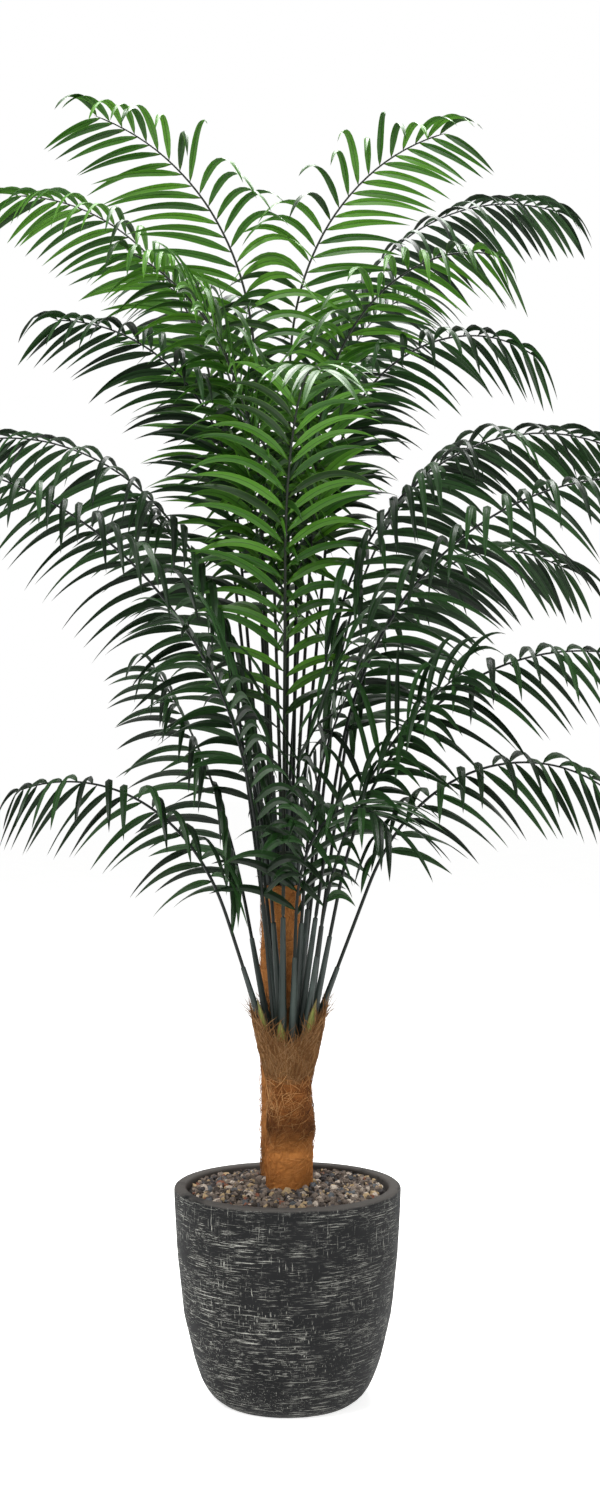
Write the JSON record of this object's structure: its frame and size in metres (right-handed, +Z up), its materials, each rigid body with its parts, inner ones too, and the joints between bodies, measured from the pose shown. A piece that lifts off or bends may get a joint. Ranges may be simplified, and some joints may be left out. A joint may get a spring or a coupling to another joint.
{
  "type": "potted palm",
  "caption": "Tall feather-leaved palm with two fibre-wrapped trunks, arching fronds on sleeved stems, and a round tapered pot topped with gravel.",
  "frame": {"origin": "centre of the pot's flat base, where it stands on the floor", "axes": "+Z up along the trunks, +X to the right and -Y towards the front, with the shorter trunk in front"},
  "size_m": [1.3298, 1.0649, 2.2858],
  "materials": {
    "pot": "matt dark grey fibre-cement with pale dry-brushed scratches and a plain grey rim",
    "soil": "dark brown rough fill that holds the trunks, hidden under the gravel",
    "gravel": "mixed grey and brown lava pebbles with a few pale and reddish ones",
    "coir": "orange-brown coconut fibre wrap with loose hairs",
    "sheath": "olive-brown streaked leaf sheath",
    "sleeve": "satin dark grey-green stem sleeve",
    "leaf_bright": "satin mid-green leaflets, lighter at their edges",
    "leaf_dark": "satin dark bottle-green leaflets with soft grey highlights"
  },
  "bodies": {
    "root": {"pot": "pot", "soil": "soil", "gravel": "gravel", "trunk_front": "coir", "trunk_rear": "coir", "fibre_collar": "coir", "sheath_left": "sheath", "sheath_centre": "sheath", "sheath_right": "sheath", "stem_crown_left": "sleeve", "stem_crown_right": "sleeve", "stem_upper_left": "sleeve", "stem_left_near": "sleeve", "stem_left_middle": "sleeve", "stem_left_arch": "sleeve", "stem_left_long": "sleeve", "stem_left_low": "sleeve", "stem_left_behind": "sleeve", "stem_front_tall": "sleeve", "stem_inner_left": "sleeve", "stem_right_upper": "sleeve", "stem_right_bright": "sleeve", "stem_right_middle": "sleeve", "stem_right_arch": "sleeve", "stem_right_long": "sleeve", "stem_right_shoulder": "sleeve", "stem_right_low": "sleeve", "stem_right_lowest": "sleeve", "stem_front_right": "sleeve", "stem_front_low": "sleeve", "stem_right_inner": "sleeve", "stem_back_left": "sleeve", "stem_back_right": "sleeve", "frond_crown_left": "leaf_bright", "frond_crown_right": "leaf_bright", "frond_upper_left": "leaf_bright", "frond_left_near": "leaf_bright", "frond_left_middle": "leaf_dark", "frond_left_inner": "leaf_dark", "frond_left_arch": "leaf_dark", "frond_left_long": "leaf_dark", "frond_left_low": "leaf_dark", "frond_left_behind": "leaf_dark", "frond_front_tall": "leaf_bright", "frond_inner_left": "leaf_bright", "frond_right_upper": "leaf_dark", "frond_right_bright": "leaf_bright", "frond_right_middle": "leaf_dark", "frond_right_behind": "leaf_dark", "frond_right_arch": "leaf_dark", "frond_right_long": "leaf_dark", "frond_right_shoulder": "leaf_dark", "frond_right_low": "leaf_dark", "frond_right_lowest": "leaf_dark", "frond_front_right": "leaf_dark", "frond_front_left": "leaf_dark", "frond_front_low": "leaf_dark", "frond_right_inner": "leaf_dark", "frond_back_left": "leaf_dark", "frond_back_right": "leaf_dark"}
  },
  "joints": []
}
